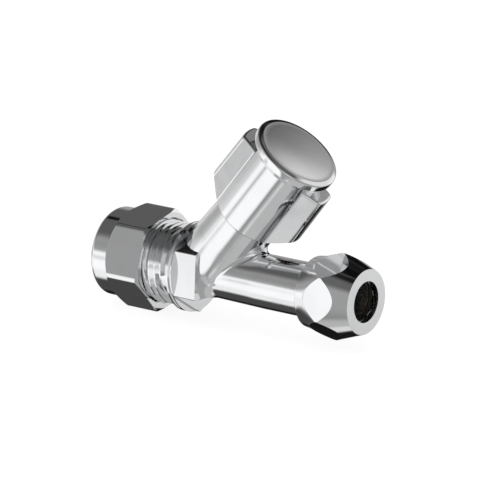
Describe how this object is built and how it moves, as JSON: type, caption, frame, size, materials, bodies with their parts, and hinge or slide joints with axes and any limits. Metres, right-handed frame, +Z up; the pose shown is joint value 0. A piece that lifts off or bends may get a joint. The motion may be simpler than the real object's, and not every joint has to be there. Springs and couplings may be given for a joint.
{
  "type": "isolating valve",
  "caption": "Chrome isolating valve with a leaning two-winged handle, a compression inlet for 15 mm pipe and a smaller compression outlet for 10 mm pipe.",
  "frame": {"origin": "centre of the inlet's pipe stop, the face that the supply pipe's end butts against", "axes": "+X along the pipe axis toward the outlet, +Z up, the stem leans 38 degrees from +Z toward +X in the XZ plane"},
  "size_m": [0.0777, 0.0258, 0.054],
  "materials": {
    "chrome": "polished chrome plate",
    "satin_chrome": "satin chrome plate",
    "brass": "turned, bare",
    "rubber": "smooth black",
    "fibre": "plain red-brown fibre",
    "white_plastic": "plain white",
    "steel": "zinc plated"
  },
  "bodies": {
    "valve": {"valve_body": "chrome", "headwork_bonnet": "brass", "bonnet_gasket": "fibre"},
    "stem": {"spindle": "brass", "spindle_oring_lower": "rubber", "spindle_oring_upper": "rubber", "spindle_thrust_washer": "white_plastic", "spindle_clip": "steel", "handle": "chrome", "handle_screw": "steel", "handle_cap": "satin_chrome"},
    "stopper": {"plunger": "brass", "plunger_oring": "rubber", "seat_washer": "rubber", "washer_screw": "steel"},
    "inlet_ring": {"inlet_olive": "brass"},
    "inlet_union": {"inlet_nut": "chrome"},
    "outlet_ring": {"outlet_olive": "brass", "outlet_thrust_ring": "brass"},
    "outlet_union": {"outlet_nut": "chrome"}
  },
  "joints": [
    {"name": "handle_turn", "type": "hinge", "parent": "valve", "child": "stem", "pos_m": [0.0075, 0, 0], "axis": [0.6157, 0, 0.788], "range_deg": [0, 900]},
    {"name": "plunger_lift", "type": "slide", "parent": "valve", "child": "stopper", "axis": [0.6157, 0, 0.788], "range_m": [0, 0.0025]},
    {"name": "inlet_nut_travel", "type": "slide", "parent": "valve", "child": "inlet_ring", "axis": [1, 0, 0], "range_m": [-0.00363, 0.00136]},
    {"name": "inlet_nut_turn", "type": "hinge", "parent": "inlet_ring", "child": "inlet_union", "pos_m": [0, 0, 0], "axis": [1, 0, 0], "range_deg": [-720, 270]},
    {"name": "outlet_nut_travel", "type": "slide", "parent": "valve", "child": "outlet_ring", "axis": [-1, 0, 0], "range_m": [-0.00267, 0.00067]},
    {"name": "outlet_nut_turn", "type": "hinge", "parent": "outlet_ring", "child": "outlet_union", "pos_m": [0.0485, 0, 0], "axis": [-1, 0, 0], "range_deg": [-720, 180]}
  ],
  "couplings": [
    {"joint": "handle_turn", "follows": "plunger_lift", "rad_per_m": 6283.2},
    {"joint": "inlet_nut_turn", "follows": "inlet_nut_travel", "rad_per_m": 3463.7},
    {"joint": "outlet_nut_turn", "follows": "outlet_nut_travel", "rad_per_m": 4699.5}
  ]
}
